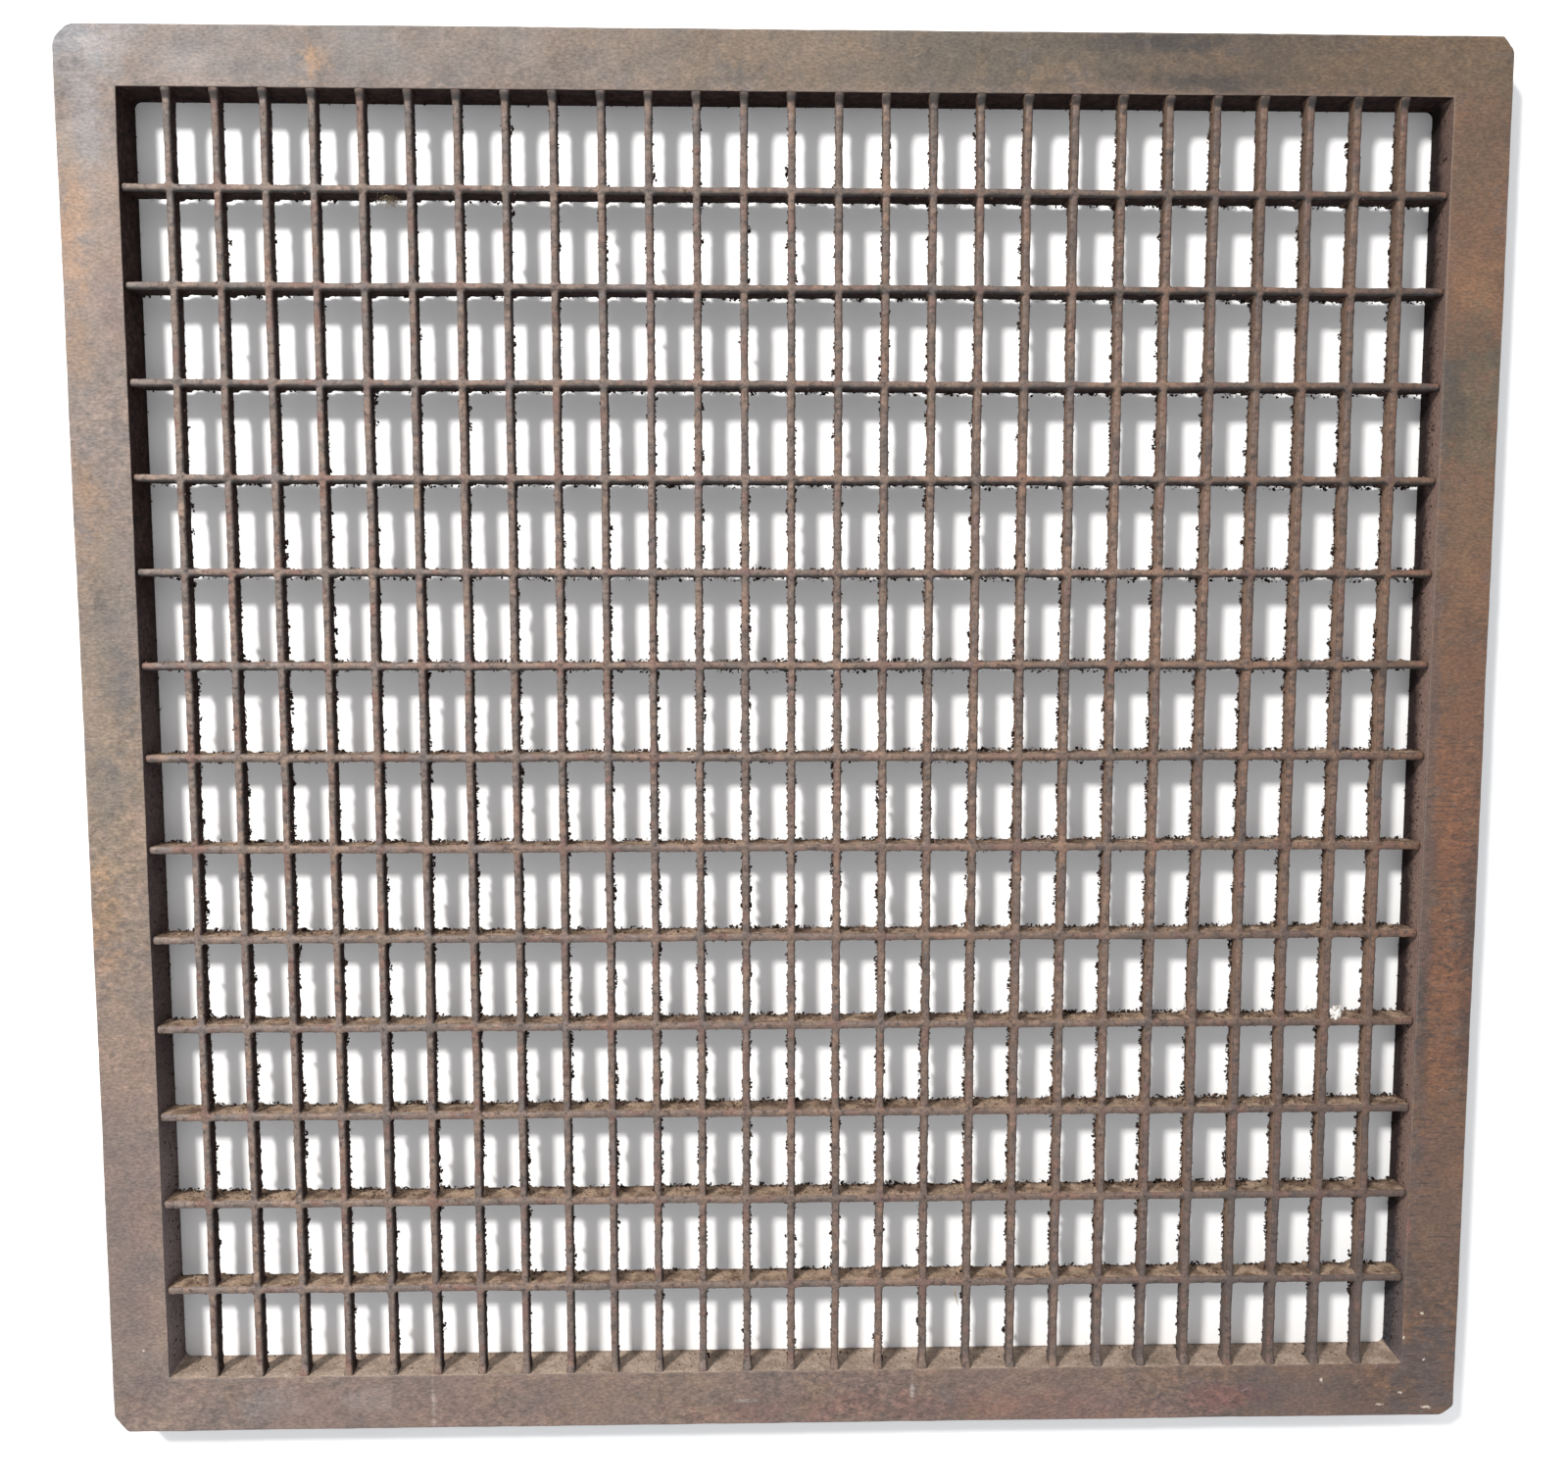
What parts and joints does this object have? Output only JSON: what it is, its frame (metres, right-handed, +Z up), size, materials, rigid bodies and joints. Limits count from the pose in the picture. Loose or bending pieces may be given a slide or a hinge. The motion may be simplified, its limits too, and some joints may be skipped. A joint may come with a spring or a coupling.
{
  "type": "floor grate",
  "caption": "Square old iron floor grate for a cold-air duct: a flat flanged rim with clipped corners round a lattice of slim bars with oblong cells.",
  "frame": {"origin": "under the centre of the grate, level with the rear edge of the rim's wall", "axes": "lying face up: +Z up out of the face, +Y along the long bars, +X along the cross bars"},
  "size_m": [0.762, 0.762, 0.0254],
  "materials": {
    "rim_iron": "old bare iron, brown rust and dust",
    "bar_iron": "old bare iron, brown rust and dust"
  },
  "bodies": {
    "root": {"rim": "rim_iron", "long_bar_01": "bar_iron", "long_bar_02": "bar_iron", "long_bar_03": "bar_iron", "long_bar_04": "bar_iron", "long_bar_05": "bar_iron", "long_bar_06": "bar_iron", "long_bar_07": "bar_iron", "long_bar_08": "bar_iron", "long_bar_09": "bar_iron", "long_bar_10": "bar_iron", "long_bar_11": "bar_iron", "long_bar_12": "bar_iron", "long_bar_13": "bar_iron", "long_bar_14": "bar_iron", "long_bar_15": "bar_iron", "long_bar_16": "bar_iron", "long_bar_17": "bar_iron", "long_bar_18": "bar_iron", "long_bar_19": "bar_iron", "long_bar_20": "bar_iron", "long_bar_21": "bar_iron", "long_bar_22": "bar_iron", "long_bar_23": "bar_iron", "long_bar_24": "bar_iron", "long_bar_25": "bar_iron", "long_bar_26": "bar_iron", "long_bar_27": "bar_iron", "cross_bar_01": "bar_iron", "cross_bar_02": "bar_iron", "cross_bar_03": "bar_iron", "cross_bar_04": "bar_iron", "cross_bar_05": "bar_iron", "cross_bar_06": "bar_iron", "cross_bar_07": "bar_iron", "cross_bar_08": "bar_iron", "cross_bar_09": "bar_iron", "cross_bar_10": "bar_iron", "cross_bar_11": "bar_iron", "cross_bar_12": "bar_iron", "cross_bar_13": "bar_iron"}
  },
  "joints": []
}
